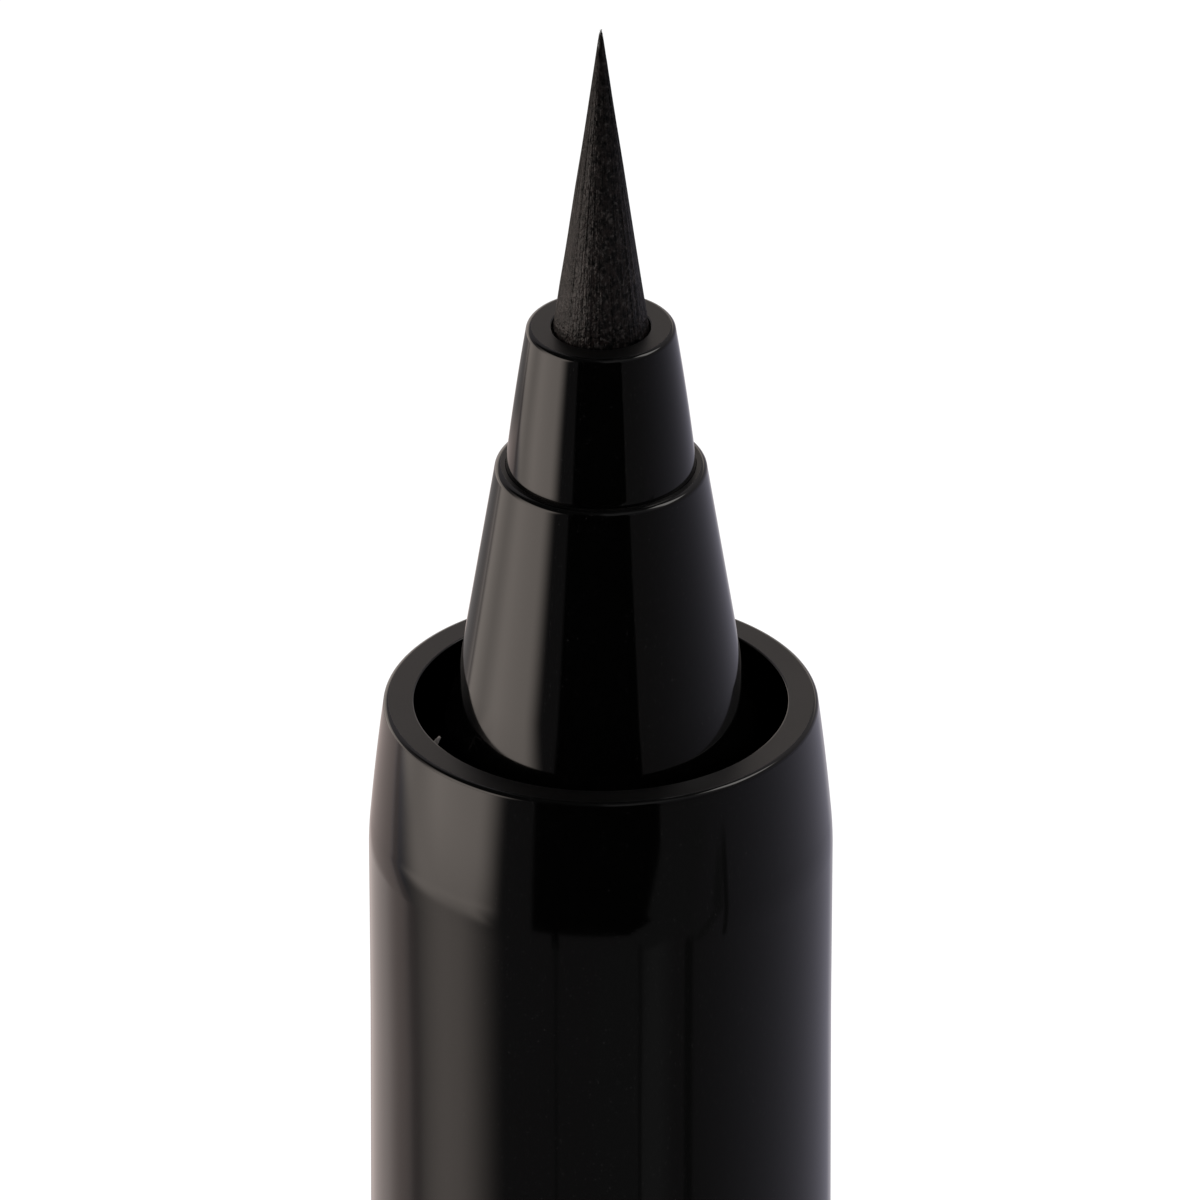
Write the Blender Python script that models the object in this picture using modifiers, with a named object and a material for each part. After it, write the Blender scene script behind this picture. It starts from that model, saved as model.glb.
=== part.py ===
# Liquid eyeliner pen standing tip up, its cap posted on the tail of the barrel.
# Metres, +Z up. The origin is the centre of the flat end that the pen stands on.
# The body is fixed, the cap slides off downwards, and the mixing ball runs up and down inside the tank.

from math import atan2, cos, pi, radians, sin, sqrt, tan

import bmesh
import bpy
from mathutils import Matrix, Vector

mm = 0.001

# Clearances that the whole pen shares
FIT_GAP = 0.10 * mm
SEAT_GAP = 0.10 * mm
OVERRUN = 0.40 * mm
WELD_DISTANCE = 0.001 * mm

# Barrel: a tube with the same tapered shoulder at its mouth and at its tail
BARREL_LENGTH = 90.0 * mm
BARREL_RADIUS = 5.62 * mm
BARREL_WALL = 0.80 * mm
SHOULDER_LENGTH = 3.05 * mm
SHOULDER_RADIUS = 5.605 * mm
SHOULDER_BULGE = 0.018 * mm
COLLAR_RADIUS = 5.65 * mm
COLLAR_DROP = 3.9 * mm
COLLAR_BULGE = 0.009 * mm
COLLAR_END_DROP = 8.5 * mm
RIM_RADIUS = 5.28 * mm
RIM_ROUND = 0.13 * mm
MOUTH_RADIUS = 4.55 * mm
MOUTH_DEPTH = 7.0 * mm
BORE_ROUND = 0.04 * mm
KEY_RIB_HEIGHT = 0.30 * mm
KEY_RIB_WIDTH = 0.42 * mm
KEY_RIB_LENGTH = 4.0 * mm
KEY_RIB_DROP = 0.02 * mm
KEY_RIB_ANGLE = radians(207.5)

# Nozzle: the cone that stands in the mouth, flares a little at its foot and plugs the tank
NOZZLE_ROOT_RADIUS = 3.82 * mm
NOZZLE_ROOT_DROP = 0.75 * mm
NOZZLE_NECK_RADIUS = 3.48 * mm
NOZZLE_NECK_RISE = 0.75 * mm
NOZZLE_FLARE = 0.026 * mm
NOZZLE_RISE = 6.55 * mm
NOZZLE_LEDGE_RADIUS = 2.565 * mm
NOZZLE_EDGE_ROUND = 0.14 * mm
FLANGE_THICKNESS = 1.2 * mm
NOZZLE_PLUG_LENGTH = 4.0 * mm
NOZZLE_PLUG_WALL = 0.7 * mm
NOZZLE_WEB = 1.0 * mm

# Tip holder: the slightly convex cone that grips the brush
HOLDER_RISE = 3.80 * mm
HOLDER_RADIUS = 2.33 * mm
HOLDER_TOP_RADIUS = 1.82 * mm
HOLDER_BULGE = 0.025 * mm
HOLDER_EDGE_ROUND = 0.14 * mm
HOLDER_STEM = 7.6 * mm
HOLDER_NECK = 3.2 * mm
HOLDER_FIT = 0.025 * mm

# Brush tip: tapered fibres that run to one point, bonded at the root
BRUSH_RADIUS = 1.15 * mm
BRUSH_LENGTH = 8.15 * mm
BRUSH_FIT = 0.02 * mm
BRUSH_FLANGE_RADIUS = 1.50 * mm
BRUSH_FLANGE_HEIGHT = 1.4 * mm
FIBRE_COUNT = 320
FIBRE_SIDES = 3
FIBRE_THICKNESS_SHARE = 0.68
FIRST_FIBRE_SHARE = 0.5
FIBRE_SHORTEST_SHARE = 0.84
FIBRE_LONGEST_SHARE = 0.96

# Feed: the porous core and the sleeve that holds the brush forward
CORE_RADIUS = 0.60 * mm
CORE_REACH = 2.0 * mm

# Collector: the comb that takes up ink when the air in the tank swells
COLLECTOR_LENGTH = 16.0 * mm
COLLECTOR_HUB_RADIUS = 1.55 * mm
COLLECTOR_TAIL = 3.0 * mm
FIN_COUNT = 14
FIN_THICKNESS = 0.45 * mm
INK_SLOT_WIDTH = 0.40 * mm
INK_SLOT_FLOOR_RADIUS = 1.15 * mm
AIR_SLOT_WIDTH = 1.20 * mm
AIR_SLOT_FLOOR_RADIUS = 2.60 * mm

# Ink tank, its mixing ball and the tail plug
TANK_WALL = 0.9 * mm
TANK_FLOOR = 1.0 * mm
BALL_RADIUS = 1.75 * mm
PLUG_DISC_THICKNESS = 1.6 * mm
SPIGOT_REACH = 2.0 * mm
SPIGOT_WALL = 0.8 * mm
SPIGOT_EDGE_ROUND = 0.5 * mm

# Cap: an outer shell and the inner cap that seals round the nozzle
CAP_LENGTH = 42.0 * mm
CAP_WALL = 0.80 * mm
CAP_END = 1.2 * mm
CAP_END_ROUND = 0.7 * mm
TIP_CLEARANCE = 2.2 * mm
SKIRT_END_GAP = 0.9 * mm
INNER_CAP_END = 1.0 * mm
INNER_CAP_RECESS = 0.3 * mm

# Facets
BARREL_SIDES = 40
NOZZLE_SIDES = 40
HOLDER_SIDES = 32
INNER_SIDES = 28
COLLECTOR_SIDES = 20
CORE_SIDES = 16
BALL_SIDES = 20
ARC_STEPS = 4
CREASE_STEPS = 2
ROUND_STEPS = 3

# Levels, from the standing end upwards
tail_level = CAP_LENGTH + SEAT_GAP
lip_level = tail_level + BARREL_LENGTH
step_level = lip_level - MOUTH_DEPTH
flange_top = step_level - SEAT_GAP
flange_bottom = flange_top - FLANGE_THICKNESS
plug_bottom = flange_bottom - NOZZLE_PLUG_LENGTH
ledge_level = lip_level + NOZZLE_RISE
holder_top = ledge_level + HOLDER_RISE
holder_bottom = ledge_level - HOLDER_STEM
web_top = holder_bottom - SEAT_GAP
web_bottom = web_top - NOZZLE_WEB
brush_flange_top = holder_top - HOLDER_NECK - SEAT_GAP
brush_flange_bottom = brush_flange_top - BRUSH_FLANGE_HEIGHT
brush_point = holder_top + BRUSH_LENGTH
fins_top = plug_bottom - SEAT_GAP
fins_bottom = fins_top - COLLECTOR_LENGTH
collector_bottom = fins_bottom - COLLECTOR_TAIL
core_bottom = collector_bottom - CORE_REACH
disc_bottom = tail_level + MOUTH_DEPTH
disc_top = disc_bottom + PLUG_DISC_THICKNESS
tank_bottom = disc_top + SEAT_GAP
tank_floor = tank_bottom + TANK_FLOOR
tank_top = flange_bottom - SEAT_GAP
ball_level = tank_floor + SEAT_GAP + BALL_RADIUS
chamber_depth = NOZZLE_RISE + HOLDER_RISE + BRUSH_LENGTH + TIP_CLEARANCE
skirt_top = CAP_LENGTH + MOUTH_DEPTH - SKIRT_END_GAP

# Radii that follow from the fits
bore_radius = BARREL_RADIUS - BARREL_WALL
insert_radius = bore_radius - FIT_GAP
tank_bore = insert_radius - TANK_WALL
plug_radius = tank_bore - FIT_GAP
plug_bore = plug_radius - NOZZLE_PLUG_WALL
core_hole = CORE_RADIUS + FIT_GAP
brush_hole = BRUSH_RADIUS + BRUSH_FIT
fibre_radius = FIBRE_THICKNESS_SHARE * BRUSH_RADIUS / sqrt(FIBRE_COUNT)
flange_hole = BRUSH_FLANGE_RADIUS + FIT_GAP
cap_bore = BARREL_RADIUS - CAP_WALL
skirt_outer = MOUTH_RADIUS - KEY_RIB_HEIGHT - FIT_GAP
skirt_inner = NOZZLE_ROOT_RADIUS + FIT_GAP


def bowed(start, end, bulge, steps):
    """Points after start up to end on the arc that stands bulge to the left of the chord."""
    run = Vector(end) - Vector(start)
    along = run.normalized()
    left = Vector((-along.y, along.x))
    arc_radius = (run.length_squared / 4 + bulge * bulge) / (2 * abs(bulge))
    side = 1 if bulge > 0 else -1
    middle = (Vector(start) + Vector(end)) / 2
    centre = middle - left * side * (arc_radius - abs(bulge))
    half = atan2(run.length / 2, arc_radius - abs(bulge))
    points = []
    for step in range(1, steps + 1):
        turn = half * (2 * step / steps - 1)
        points.append(tuple(centre + (left * side * cos(turn) + along * sin(turn)) * arc_radius))
    return points


def rounded(corners):
    """The outline through corners (radius, height), with an arc where a third value gives a fillet."""
    outline = []
    for index, (radius, height, *fillet) in enumerate(corners):
        corner = Vector((radius, height))
        if not fillet:
            outline.append(tuple(corner))
            continue
        before = Vector(corners[index - 1][:2]) - corner
        after = Vector(corners[(index + 1) % len(corners)][:2]) - corner
        half = before.angle(after) / 2
        reach = fillet[0] / tan(half)
        start = corner + before.normalized() * reach
        end = corner + after.normalized() * reach
        turns_left = before.x * after.y - before.y * after.x < 0
        bulge = fillet[0] * (1 - sin(half)) * (-1 if turns_left else 1)
        outline.append(tuple(start))
        outline.extend(bowed(start, end, bulge, ROUND_STEPS))
    return outline


def collection_named(name):
    collection = bpy.data.collections.new(name)
    bpy.context.scene.collection.children.link(collection)
    return collection


def material_named(name, colour, roughness, metallic=0.0):
    material = bpy.data.materials.new(name)
    material.use_nodes = True
    shader = material.node_tree.nodes["Principled BSDF"]
    shader.inputs["Base Color"].default_value = (*colour, 1.0)
    shader.inputs["Roughness"].default_value = roughness
    shader.inputs["Metallic"].default_value = metallic
    return material


def add_object(name, mesh, collection, material=None):
    piece = bpy.data.objects.new(name, mesh)
    collection.objects.link(piece)
    if material:
        mesh.materials.append(material)
    return piece


def turned(name, outline, sides, collection, material=None):
    """A turned piece from corners that run down its outer side, closed or ending on the axis."""
    outline = rounded(outline)
    on_axis = outline[0][0] == 0
    count = len(outline)
    edges = [(index, index + 1) for index in range(count - 1)]
    if not on_axis:
        edges.append((count - 1, 0))
    mesh = bpy.data.meshes.new(name)
    mesh.from_pydata([(radius, 0, height) for radius, height in outline], edges, [])
    piece = add_object(name, mesh, collection, material)
    screw = piece.modifiers.new("Turn", "SCREW")
    screw.axis = "Z"
    screw.angle = 2 * pi
    screw.steps = sides
    screw.render_steps = sides
    screw.use_merge_vertices = True
    screw.merge_threshold = WELD_DISTANCE
    screw.use_smooth_shade = True
    return piece


def box_cutter(name, low, high, collection):
    mesh = bpy.data.meshes.new(name)
    shape = bmesh.new()
    bmesh.ops.create_cube(shape, size=1)
    size = Vector(high) - Vector(low)
    middle = (Vector(high) + Vector(low)) / 2
    placed = Matrix.Translation(middle) @ Matrix.Diagonal((*size, 1))
    bmesh.ops.transform(shape, matrix=placed, verts=shape.verts)
    shape.to_mesh(mesh)
    shape.free()
    cutter = add_object(name, mesh, collection)
    cutter.hide_render = True
    cutter.display_type = "WIRE"
    return cutter


def combine(piece, other, operation):
    boolean = piece.modifiers.new(other.name, "BOOLEAN")
    boolean.operation = operation
    boolean.solver = "EXACT"
    boolean.object = other


def shoulder_down():
    """Outer side of a mouth: rounded rim, tapered shoulder, soft crease and faint collar below it."""
    foot = (SHOULDER_RADIUS, -SHOULDER_LENGTH)
    slope = bowed((RIM_RADIUS, 0), foot, SHOULDER_BULGE, ARC_STEPS)
    crease = bowed(foot, (COLLAR_RADIUS, -COLLAR_DROP), COLLAR_BULGE, CREASE_STEPS)
    return [(RIM_RADIUS, 0, RIM_ROUND)] + slope + crease + [(BARREL_RADIUS, -COLLAR_END_DROP)]


def make_barrel(pen, helpers, material):
    top = [(radius, lip_level + drop, *fillet) for radius, drop, *fillet in shoulder_down()]
    upturned = reversed(shoulder_down())
    bottom = [(radius, tail_level - drop, *fillet) for radius, drop, *fillet in upturned]
    inside = [
        (bore_radius, tail_level, BORE_ROUND),
        (bore_radius, step_level),
        (MOUTH_RADIUS, step_level),
        (MOUTH_RADIUS, lip_level, BORE_ROUND),
    ]
    barrel = turned("barrel", top + bottom + inside, BARREL_SIDES, pen, material)
    rib_top = lip_level - KEY_RIB_DROP
    rib = box_cutter(
        "key_rib",
        (MOUTH_RADIUS - KEY_RIB_HEIGHT, -KEY_RIB_WIDTH / 2, rib_top - KEY_RIB_LENGTH),
        (MOUTH_RADIUS + OVERRUN, KEY_RIB_WIDTH / 2, rib_top),
        helpers,
    )
    rib.rotation_euler = (0, 0, KEY_RIB_ANGLE)
    combine(barrel, rib, "UNION")
    return barrel


def make_nozzle(pen, material):
    neck = (NOZZLE_NECK_RADIUS, lip_level + NOZZLE_NECK_RISE)
    root = (NOZZLE_ROOT_RADIUS, lip_level - NOZZLE_ROOT_DROP)
    holder_bore = HOLDER_RADIUS + HOLDER_FIT
    cone = [(NOZZLE_LEDGE_RADIUS, ledge_level, NOZZLE_EDGE_ROUND), neck]
    outline = cone + bowed(neck, root, -NOZZLE_FLARE, ARC_STEPS) + [
        (NOZZLE_ROOT_RADIUS, flange_top),
        (insert_radius, flange_top),
        (insert_radius, flange_bottom),
        (plug_radius, flange_bottom),
        (plug_radius, plug_bottom),
        (plug_bore, plug_bottom),
        (plug_bore, web_bottom),
        (core_hole, web_bottom),
        (core_hole, web_top),
        (holder_bore, web_top),
        (holder_bore, ledge_level),
    ]
    return turned("nozzle", outline, NOZZLE_SIDES, pen, material)


def make_tip_holder(pen, material):
    edge = (HOLDER_TOP_RADIUS, holder_top)
    cone = bowed(edge, (HOLDER_RADIUS, ledge_level), HOLDER_BULGE, ARC_STEPS)
    outline = [(*edge, HOLDER_EDGE_ROUND)] + cone + [
        (HOLDER_RADIUS, holder_bottom),
        (flange_hole, holder_bottom),
        (flange_hole, holder_top - HOLDER_NECK),
        (brush_hole, holder_top - HOLDER_NECK),
        (brush_hole, holder_top),
    ]
    return turned("tip_holder", outline, HOLDER_SIDES, pen, material)


def make_fibres(helpers):
    """Tapered strands on a sunflower pattern that all lean on the brush point, so that none cross."""
    golden_angle = pi * (3 - sqrt(5))
    spread = (BRUSH_RADIUS - fibre_radius) / sqrt(FIBRE_COUNT)
    shape = bmesh.new()
    for index in range(FIBRE_COUNT):
        ring = spread * sqrt(index + FIRST_FIBRE_SHARE)
        angle = golden_angle * index
        stagger = (index * golden_angle) % 1
        share = FIBRE_SHORTEST_SHARE + (FIBRE_LONGEST_SHARE - FIBRE_SHORTEST_SHARE) * stagger
        if index == 0:
            share = 1
        base = Vector((ring * cos(angle), ring * sin(angle), holder_top))
        end = base.lerp(Vector((0, 0, brush_point)), share)
        foot = base - (end - base).normalized() * OVERRUN
        strand = bmesh.ops.create_cone(
            shape, cap_ends=True, segments=FIBRE_SIDES, radius1=1, radius2=0, depth=1)
        run = end - foot
        lean = Matrix((
            (fibre_radius, 0, run.x, (foot.x + end.x) / 2),
            (0, fibre_radius, run.y, (foot.y + end.y) / 2),
            (0, 0, run.z, (foot.z + end.z) / 2),
            (0, 0, 0, 1),
        ))
        turn = Matrix.Rotation(angle, 4, "Z")
        bmesh.ops.transform(shape, matrix=lean @ turn, verts=strand["verts"])
    mesh = bpy.data.meshes.new("fibres")
    shape.to_mesh(mesh)
    shape.free()
    fibres = add_object("fibres", mesh, helpers)
    fibres.hide_render = True
    fibres.display_type = "WIRE"
    return fibres


def make_brush_tip(pen, helpers, material):
    outline = [
        (0, holder_top),
        (BRUSH_RADIUS, holder_top),
        (BRUSH_RADIUS, brush_flange_top),
        (BRUSH_FLANGE_RADIUS, brush_flange_top),
        (BRUSH_FLANGE_RADIUS, brush_flange_bottom),
        (0, brush_flange_bottom),
    ]
    brush = turned("brush_tip", outline, COLLECTOR_SIDES, pen, material)
    combine(brush, make_fibres(helpers), "UNION")
    return brush


def make_brush_sleeve(pen, material):
    sleeve_top = brush_flange_bottom - SEAT_GAP
    sleeve_bottom = web_top + SEAT_GAP
    outline = [
        (BRUSH_FLANGE_RADIUS, sleeve_top),
        (BRUSH_FLANGE_RADIUS, sleeve_bottom),
        (core_hole, sleeve_bottom),
        (core_hole, sleeve_top),
    ]
    return turned("brush_sleeve", outline, COLLECTOR_SIDES, pen, material)


def make_feed_core(pen, material):
    core_top = brush_flange_bottom - SEAT_GAP
    outline = [(0, core_top), (CORE_RADIUS, core_top), (CORE_RADIUS, core_bottom), (0, core_bottom)]
    return turned("feed_core", outline, CORE_SIDES, pen, material)


def make_collector(pen, helpers, material):
    fin_radius = tank_bore - FIT_GAP
    spigot_radius = plug_bore - FIT_GAP
    spigot_top = web_bottom - SEAT_GAP
    pitch = (COLLECTOR_LENGTH - FIN_THICKNESS) / (FIN_COUNT - 1)
    outline = [(spigot_radius, spigot_top), (spigot_radius, fins_top)]
    for index in range(FIN_COUNT):
        fin_top = fins_top - pitch * index
        outline += [(fin_radius, fin_top), (fin_radius, fin_top - FIN_THICKNESS)]
        if index < FIN_COUNT - 1:
            outline += [
                (COLLECTOR_HUB_RADIUS, fin_top - FIN_THICKNESS),
                (COLLECTOR_HUB_RADIUS, fin_top - pitch),
            ]
    outline += [
        (COLLECTOR_HUB_RADIUS, fins_bottom),
        (COLLECTOR_HUB_RADIUS, collector_bottom),
        (core_hole, collector_bottom),
        (core_hole, spigot_top),
    ]
    collector = turned("collector", outline, COLLECTOR_SIDES, pen, material)
    ink_slot = box_cutter(
        "ink_slot",
        (INK_SLOT_FLOOR_RADIUS, -INK_SLOT_WIDTH / 2, fins_bottom - OVERRUN),
        (fin_radius + OVERRUN, INK_SLOT_WIDTH / 2, fins_top - FIN_THICKNESS),
        helpers,
    )
    air_slot = box_cutter(
        "air_slot",
        (-fin_radius - OVERRUN, -AIR_SLOT_WIDTH / 2, fins_bottom - OVERRUN),
        (-AIR_SLOT_FLOOR_RADIUS, AIR_SLOT_WIDTH / 2, fins_top + SEAT_GAP / 2),
        helpers,
    )
    combine(collector, ink_slot, "DIFFERENCE")
    combine(collector, air_slot, "DIFFERENCE")
    return collector


def make_ink_tank(pen, material):
    outline = [
        (0, tank_floor),
        (tank_bore, tank_floor),
        (tank_bore, tank_top),
        (insert_radius, tank_top),
        (insert_radius, tank_bottom),
        (0, tank_bottom),
    ]
    return turned("ink_tank", outline, INNER_SIDES, pen, material)


def make_mixing_ball(pen, material):
    mesh = bpy.data.meshes.new("mixing_ball")
    shape = bmesh.new()
    bmesh.ops.create_uvsphere(
        shape, u_segments=BALL_SIDES, v_segments=BALL_SIDES // 2, radius=BALL_RADIUS)
    shape.to_mesh(mesh)
    shape.free()
    mesh.shade_smooth()
    ball = add_object("mixing_ball", mesh, pen, material)
    ball.location = (0, 0, ball_level)
    return ball


def make_tail_plug(pen, material):
    spigot_end = tail_level - SPIGOT_REACH
    spigot_bore = NOZZLE_ROOT_RADIUS - SPIGOT_WALL
    outline = [
        (0, disc_top),
        (insert_radius, disc_top),
        (insert_radius, disc_bottom),
        (NOZZLE_ROOT_RADIUS, disc_bottom),
        (NOZZLE_ROOT_RADIUS, spigot_end, SPIGOT_EDGE_ROUND),
        (spigot_bore, spigot_end),
        (spigot_bore, disc_bottom),
        (0, disc_bottom),
    ]
    return turned("tail_plug", outline, INNER_SIDES, pen, material)


def make_cap_shell(pen, material):
    top = [(radius, CAP_LENGTH + drop, *fillet) for radius, drop, *fillet in shoulder_down()]
    foot = [(BARREL_RADIUS, 0, CAP_END_ROUND), (0, 0)]
    outline = [(0, CAP_END), (cap_bore, CAP_END), (cap_bore, CAP_LENGTH, BORE_ROUND)] + top + foot
    return turned("cap_shell", outline, BARREL_SIDES, pen, material)


def make_inner_cap(pen, material):
    chamber_floor = CAP_LENGTH - chamber_depth
    body_radius = cap_bore - FIT_GAP
    body_top = CAP_LENGTH - INNER_CAP_RECESS
    outline = [
        (0, chamber_floor),
        (skirt_inner, chamber_floor),
        (skirt_inner, skirt_top),
        (skirt_outer, skirt_top),
        (skirt_outer, body_top),
        (body_radius, body_top),
        (body_radius, chamber_floor - INNER_CAP_END),
        (0, chamber_floor - INNER_CAP_END),
    ]
    return turned("inner_cap", outline, INNER_SIDES, pen, material)


def main():
    for leftover in list(bpy.data.objects):
        bpy.data.objects.remove(leftover)
    pen = collection_named("liquid_eyeliner")
    helpers = collection_named("helpers")
    black = material_named("gloss_black", (0.011, 0.011, 0.012), 0.22)
    nozzle_black = material_named("nozzle_black", (0.010, 0.010, 0.011), 0.18)
    natural = material_named("natural_plastic", (0.62, 0.62, 0.60), 0.45)
    comb = material_named("collector_plastic", (0.30, 0.31, 0.32), 0.50)
    soft_black = material_named("inner_cap_black", (0.020, 0.020, 0.021), 0.45)
    fibre = material_named("brush_fibre", (0.030, 0.022, 0.018), 0.75)
    felt = material_named("feed_fibre", (0.55, 0.53, 0.50), 0.90)
    steel = material_named("ball_steel", (0.62, 0.62, 0.64), 0.20, 1.0)
    make_barrel(pen, helpers, black)
    make_nozzle(pen, nozzle_black)
    make_tip_holder(pen, nozzle_black)
    make_brush_tip(pen, helpers, fibre)
    make_brush_sleeve(pen, natural)
    make_feed_core(pen, felt)
    make_collector(pen, helpers, comb)
    make_ink_tank(pen, natural)
    make_mixing_ball(pen, steel)
    make_tail_plug(pen, soft_black)
    make_cap_shell(pen, black)
    make_inner_cap(pen, soft_black)


main()
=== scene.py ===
# Liquid eyeliner pen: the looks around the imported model
# Metres, +Z up; the pen stands on its posted cap
from math import atan2, cos, pi, radians, sin, sqrt, tan

import bmesh
import bpy
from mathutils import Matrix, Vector


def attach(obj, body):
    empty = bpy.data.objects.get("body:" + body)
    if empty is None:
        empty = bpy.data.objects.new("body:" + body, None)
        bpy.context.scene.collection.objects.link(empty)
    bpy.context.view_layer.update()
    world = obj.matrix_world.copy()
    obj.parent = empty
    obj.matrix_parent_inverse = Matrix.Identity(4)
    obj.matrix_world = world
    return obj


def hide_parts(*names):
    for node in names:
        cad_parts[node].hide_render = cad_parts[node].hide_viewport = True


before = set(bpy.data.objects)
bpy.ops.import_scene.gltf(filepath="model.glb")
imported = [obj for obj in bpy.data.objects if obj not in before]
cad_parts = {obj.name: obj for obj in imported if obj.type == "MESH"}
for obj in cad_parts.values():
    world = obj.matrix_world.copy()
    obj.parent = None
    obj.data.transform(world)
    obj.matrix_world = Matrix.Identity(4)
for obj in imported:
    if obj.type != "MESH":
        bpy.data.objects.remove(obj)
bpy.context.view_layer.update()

mm = 0.001

# What the pieces share, in the sizes of the CAD
pen = {
    "barrelRadius": 5.62 * mm,
    "rimRadius": 5.28 * mm,
    "rimRound": 0.13 * mm,
    "shoulderRadius": 5.605 * mm,
    "shoulderDrop": 3.05 * mm,
    "shoulderBulge": 0.018 * mm,
    "collarRadius": 5.65 * mm,
    "collarDrop": 3.9 * mm,
    "collarBulge": 0.009 * mm,
    "collarEnd": 8.5 * mm,
    "mouthRadius": 4.55 * mm,
    "mouthDepth": 7.0 * mm,
    "boreRadius": 4.82 * mm,
    "boreRound": 0.04 * mm,
    "insertRadius": 4.72 * mm,
    "rootRadius": 3.82 * mm,
    "tailLevel": 42.1 * mm,
    "lipLevel": 132.1 * mm,
    "ledgeLevel": 138.65 * mm,
    "holderTop": 142.45 * mm,
    "brushPoint": 150.6 * mm,
}

# How the turned pieces are meshed
cuts = {
    "barrelSides": 320,
    "coneSides": 256,
    "insideSides": 160,
    "coreSides": 48,
    "shoulderSteps": 28,
    "coneSteps": 24,
    "filletSteps": 8,
    "ribSteps": 3,
    "supportLoop": 0.012 * mm,  # ring beside each rounded edge that keeps the flat face flat
    "weld": 0.0005 * mm,
    "sharpAngle": radians(40),
}


# Helpers for meshes and node trees

def bow(start, end, bulge, steps):
    # points after start up to end, on the arc that stands bulge to the left of the chord
    first, last = Vector(start), Vector(end)
    run = last - first
    along = run.normalized()
    left = Vector((-along.y, along.x))
    bend = (run.length_squared / 4 + bulge * bulge) / (2 * abs(bulge))
    side = 1 if bulge > 0 else -1
    centre = (first + last) / 2 - left * side * (bend - abs(bulge))
    half = atan2(run.length / 2, bend - abs(bulge))
    swings = [half * (2 * step / steps - 1) for step in range(1, steps + 1)]
    return [tuple(centre + (left * side * cos(swing) + along * sin(swing)) * bend) for swing in swings]


def softCorners(corners, steps):
    # a corner is (radius, height), or (radius, height, fillet)
    outline = []
    for index, (radius, height, *fillet) in enumerate(corners):
        corner = Vector((radius, height))
        if not fillet:
            outline.append(tuple(corner))
            continue
        before = Vector(corners[index - 1][:2]) - corner
        after = Vector(corners[(index + 1) % len(corners)][:2]) - corner
        half = before.angle(after) / 2
        reach = fillet[0] / tan(half)
        start = corner + before.normalized() * reach
        end = corner + after.normalized() * reach
        turnsLeft = before.x * after.y - before.y * after.x < 0
        bulge = fillet[0] * (1 - sin(half)) * (-1 if turnsLeft else 1)
        support = cuts["supportLoop"]
        if before.length > reach + 2 * support:
            outline.append(tuple(start + before.normalized() * support))
        outline.append(tuple(start))
        outline.extend(bow(start, end, bulge, steps))
        if after.length > reach + 2 * support:
            outline.append(tuple(end + after.normalized() * support))
    return outline


def toMesh(name, shape):
    mesh = bpy.data.meshes.new(name)
    shape.to_mesh(mesh)
    shape.free()
    return mesh


def linkMesh(name, mesh, *materials):
    piece = bpy.data.objects.new(name, mesh)
    bpy.context.scene.collection.objects.link(piece)
    for material in materials:
        mesh.materials.append(material)
    return piece


def turn(name, corners, material, sides):
    # a turned piece whose outline is closed, or starts and ends on the axis
    outline = softCorners(corners, cuts["filletSteps"])
    onAxis = outline[0][0] == 0
    angles = [2 * pi * side / sides for side in range(sides)]
    shape = bmesh.new()
    rings = []
    for radius, height in outline:
        if radius == 0:
            rings.append([shape.verts.new((0, 0, height))])
            continue
        rings.append([shape.verts.new((radius * cos(a), radius * sin(a), height)) for a in angles])
    pairs = list(zip(rings, rings[1:]))
    if not onAxis:
        pairs.append((rings[-1], rings[0]))
    for upper, lower in pairs:
        for side in range(sides):
            after = (side + 1) % sides
            corner = [upper[side % len(upper)], lower[side % len(lower)]]
            if len(lower) > 1:
                corner.append(lower[after])
            if len(upper) > 1:
                corner.append(upper[after])
            shape.faces.new(corner)
    bmesh.ops.remove_doubles(shape, verts=shape.verts, dist=cuts["weld"])
    bmesh.ops.recalc_face_normals(shape, faces=shape.faces)
    mesh = toMesh(name, shape)
    mesh.shade_smooth()
    mesh.set_sharp_from_angle(angle=cuts["sharpAngle"])
    return linkMesh(name, mesh, material)


def addNode(tree, kind, inputs=None, **settings):
    # an input takes another node's socket or a plain value
    made = tree.nodes.new(kind)
    for setting, value in settings.items():
        setattr(made, setting, value)
    for socket, value in (inputs or {}).items():
        if isinstance(value, bpy.types.NodeSocket):
            tree.links.new(value, made.inputs[socket])
        else:
            made.inputs[socket].default_value = value
    return made


def math(tree, operation, first, second=0.0, third=0.0):
    made = addNode(tree, "ShaderNodeMath", {0: first, 1: second, 2: third}, operation=operation)
    return made.outputs[0]


def vectorMath(tree, operation, first, second=(0.0, 0.0, 0.0)):
    made = addNode(tree, "ShaderNodeVectorMath", {0: first, 1: second}, operation=operation)
    return made.outputs["Value" if operation == "LENGTH" else "Vector"]


def spread(tree, value, low, high, bottom=0.0, top=1.0):
    # smooth step from bottom at low to top at high
    made = addNode(tree, "ShaderNodeMapRange",
                   {0: value, 1: low, 2: high, 3: bottom, 4: top}, interpolation_type="SMOOTHSTEP")
    return made.outputs[0]


def mixColours(tree, share, first, second):
    made = addNode(tree, "ShaderNodeMix", {0: share, 6: first, 7: second}, data_type="RGBA")
    return made.outputs[2]


def noise(tree, place, size, stretch=(1, 1, 1), detail=2.0):
    # size is the width of one blotch in metres, stretch makes it longer along an axis
    scale = [1 / (size * share) for share in stretch]
    mapping = addNode(tree, "ShaderNodeMapping", {"Vector": place, "Scale": scale})
    made = addNode(tree, "ShaderNodeTexNoise",
                   {"Vector": mapping.outputs[0], "Scale": 1.0, "Detail": detail})
    return made.outputs[0]


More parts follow.
